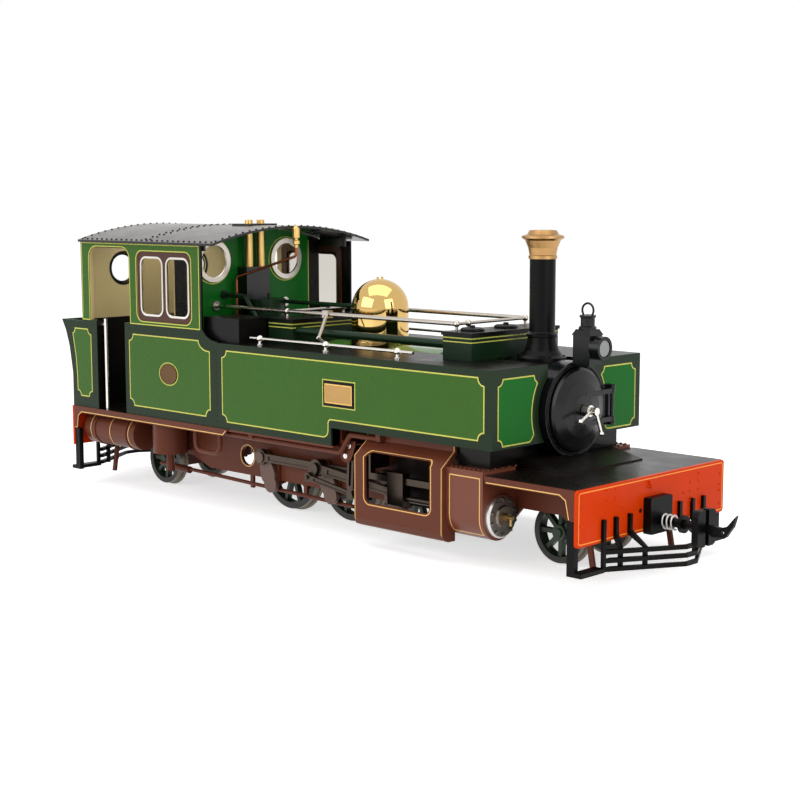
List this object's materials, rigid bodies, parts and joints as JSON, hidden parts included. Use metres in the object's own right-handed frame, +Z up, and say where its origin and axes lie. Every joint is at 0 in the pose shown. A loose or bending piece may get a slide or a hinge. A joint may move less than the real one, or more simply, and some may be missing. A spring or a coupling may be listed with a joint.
{
  "type": "live steam locomotive model",
  "caption": "Narrow-gauge side-tank steam locomotive model with outside frames, cranks and rods, pony trucks, cab, dome, chimney and working motion.",
  "frame": {"origin": "under the middle of the engine on the centre plane, at the lowest point of the wheel flanges", "axes": "+X to the front of the engine along the track, +Y to its left-hand side, +Z up"},
  "size_m": [0.4446, 0.112, 0.1504],
  "materials": {
    "green": "gloss lined green paint with dark green borders",
    "dark_green": "dark green paint",
    "black": "satin black paint",
    "roof_grey": "satin dark grey paint",
    "brown": "satin red-brown paint, lined",
    "vermilion": "orange-red paint, lined",
    "steel": "bright machined steel",
    "nickel": "polished nickel",
    "brass": "polished brass",
    "copper": "tarnished copper pipe with brass fittings",
    "glass": "clear"
  },
  "bodies": {
    "root": {"axle_boxes": "brown", "backhead": "brass", "boiler_shell": "green", "brake_gear": "brown", "buffer_beams": "vermilion", "bunker": "green", "cab_back": "green", "cab_front": "green", "cab_side_left": "green", "cab_side_right": "green", "chimney": "black", "chimney_cap": "brass", "coupler_housings": "black", "coupler_springs": "steel", "cowcatchers": "black", "cylinder_casings": "brown", "cylinder_covers": "steel", "dome": "brass", "footplates": "black", "glass_panes": "glass", "handrails": "nickel", "head_lamp": "black", "main_frame": "brown", "motion_guards": "brown", "safety_valves": "brass", "sand_rods": "nickel", "slide_bars": "steel", "smokebox": "black", "steam_pipes": "dark_green", "tank_left": "green", "tank_right": "green", "tank_top_boxes": "dark_green", "valances": "brown", "whistle": "copper", "window_frames": "nickel"},
    "roof": {"cab_roof": "roof_grey"},
    "smokebox_door": {"smokebox_door": "black"},
    "door_handles": {"door_handles": "steel"},
    "front_truck": {"front_pony_truck": "brown"},
    "rear_truck": {"rear_pony_truck": "brown"},
    "front_truck_wheels": {"front_pony_wheels": "dark_green"},
    "rear_truck_wheels": {"rear_pony_wheels": "dark_green"},
    "trailing_wheels": {"trailing_wheelset": "dark_green"},
    "driving_wheels": {"driving_wheelset": "dark_green"},
    "leading_wheels": {"leading_wheelset": "dark_green"},
    "coupling_right": {"coupling_rod_right": "steel"},
    "coupling_left": {"coupling_rod_left": "steel"},
    "connecting_right": {"connecting_rod_right": "steel"},
    "connecting_left": {"connecting_rod_left": "steel"},
    "eccentric_right": {"eccentric_rod_right": "steel"},
    "eccentric_left": {"eccentric_rod_left": "steel"},
    "crosshead_right": {"crosshead_right": "steel"},
    "crosshead_left": {"crosshead_left": "steel"},
    "front_coupler": {"front_coupler": "black"},
    "rear_coupler": {"rear_coupler": "black"},
    "front_hook": {"front_hook": "black"},
    "rear_hook": {"rear_hook": "black"},
    "regulator": {"regulator_lever": "steel"},
    "reverser": {"reverser_lever": "steel"}
  },
  "joints": [
    {"name": "roof_lift", "type": "slide", "parent": "root", "child": "roof", "axis": [0, 0, 1], "range_m": [0, 0.03]},
    {"name": "smokebox_door_hinge", "type": "hinge", "parent": "root", "child": "smokebox_door", "pos_m": [0.1388, 0.0246, 0.0677], "axis": [0, 0, 1], "range_deg": [0, 100]},
    {"name": "door_handle_turn", "type": "hinge", "parent": "smokebox_door", "child": "door_handles", "pos_m": [0.142, 0, 0.0677], "axis": [1, 0, 0], "range_deg": [0, 90]},
    {"name": "front_truck_swing", "type": "hinge", "parent": "root", "child": "front_truck", "pos_m": [0.1, 0, 0.0262], "axis": [0, 0, 1], "range_deg": [-9, 9]},
    {"name": "rear_truck_swing", "type": "hinge", "parent": "root", "child": "rear_truck", "pos_m": [-0.095, 0, 0.0262], "axis": [0, 0, 1], "range_deg": [-9, 9]},
    {"name": "front_truck_roll", "type": "hinge", "parent": "front_truck", "child": "front_truck_wheels", "pos_m": [0.1433, 0, 0.0149], "axis": [0, 1, 0], "continuous": true},
    {"name": "rear_truck_roll", "type": "hinge", "parent": "rear_truck", "child": "rear_truck_wheels", "pos_m": [-0.1417, 0, 0.0149], "axis": [0, 1, 0], "continuous": true},
    {"name": "driving_roll", "type": "hinge", "parent": "root", "child": "driving_wheels", "pos_m": [0.0105, 0, 0.0212], "axis": [0, 1, 0], "continuous": true},
    {"name": "trailing_roll", "type": "hinge", "parent": "root", "child": "trailing_wheels", "pos_m": [-0.0345, 0, 0.0212], "axis": [0, 1, 0], "continuous": true},
    {"name": "leading_roll", "type": "hinge", "parent": "root", "child": "leading_wheels", "pos_m": [0.0555, 0, 0.0212], "axis": [0, 1, 0], "continuous": true},
    {"name": "coupling_right_pin", "type": "hinge", "parent": "driving_wheels", "child": "coupling_right", "pos_m": [0.00725, -0.0364, 0.03013], "axis": [0, 1, 0], "continuous": true},
    {"name": "crosshead_right_slide", "type": "slide", "parent": "root", "child": "crosshead_right", "axis": [1, 0, 0], "range_m": [-0.0059, 0.0129]},
    {"name": "connecting_right_gudgeon", "type": "hinge", "parent": "crosshead_right", "child": "connecting_right", "pos_m": [0.0675, -0.0394, 0.0239], "axis": [0, 1, 0], "range_deg": [-17.5, 0.5]},
    {"name": "eccentric_right_pin", "type": "hinge", "parent": "connecting_right", "child": "eccentric_right", "pos_m": [0.0047, -0.0429, 0.02571], "axis": [0, 1, 0], "range_deg": [-5, 5]},
    {"name": "coupling_left_pin", "type": "hinge", "parent": "driving_wheels", "child": "coupling_left", "pos_m": [0.01943, 0.0364, 0.02445], "axis": [0, 1, 0], "continuous": true},
    {"name": "crosshead_left_slide", "type": "slide", "parent": "root", "child": "crosshead_left", "axis": [1, 0, 0], "range_m": [-0.0184, 0.0004]},
    {"name": "connecting_left_gudgeon", "type": "hinge", "parent": "crosshead_left", "child": "connecting_left", "pos_m": [0.07999, 0.0394, 0.0239], "axis": [0, 1, 0], "range_deg": [-12.1, 5.9]},
    {"name": "eccentric_left_pin", "type": "hinge", "parent": "connecting_left", "child": "eccentric_left", "pos_m": [0.01501, 0.0429, 0.027], "axis": [0, 1, 0], "range_deg": [-5, 5]},
    {"name": "front_coupler_spring", "type": "slide", "parent": "root", "child": "front_coupler", "axis": [1, 0, 0], "range_m": [-0.002, 0]},
    {"name": "rear_coupler_spring", "type": "slide", "parent": "root", "child": "rear_coupler", "axis": [1, 0, 0], "range_m": [0, 0.002]},
    {"name": "front_hook_lift", "type": "hinge", "parent": "front_coupler", "child": "front_hook", "pos_m": [0.2067, 0, 0.0236], "axis": [0, 1, 0], "range_deg": [-40, 0]},
    {"name": "rear_hook_lift", "type": "hinge", "parent": "rear_coupler", "child": "rear_hook", "pos_m": [-0.2067, 0, 0.0236], "axis": [0, 1, 0], "range_deg": [0, 40]},
    {"name": "regulator_turn", "type": "hinge", "parent": "root", "child": "regulator", "pos_m": [-0.106, 0, 0.0807], "axis": [1, 0, 0], "range_deg": [-40, 30]},
    {"name": "reverser_throw", "type": "hinge", "parent": "root", "child": "reverser", "pos_m": [-0.112, -0.036, 0.0512], "axis": [0, 1, 0], "range_deg": [-20, 20]}
  ],
  "couplings": [
    {"joint": "trailing_roll", "follows": "driving_roll", "ratio": 1},
    {"joint": "leading_roll", "follows": "driving_roll", "ratio": 1},
    {"joint": "coupling_right_pin", "follows": "driving_roll", "ratio": -1},
    {"joint": "coupling_left_pin", "follows": "driving_roll", "ratio": -1}
  ]
}
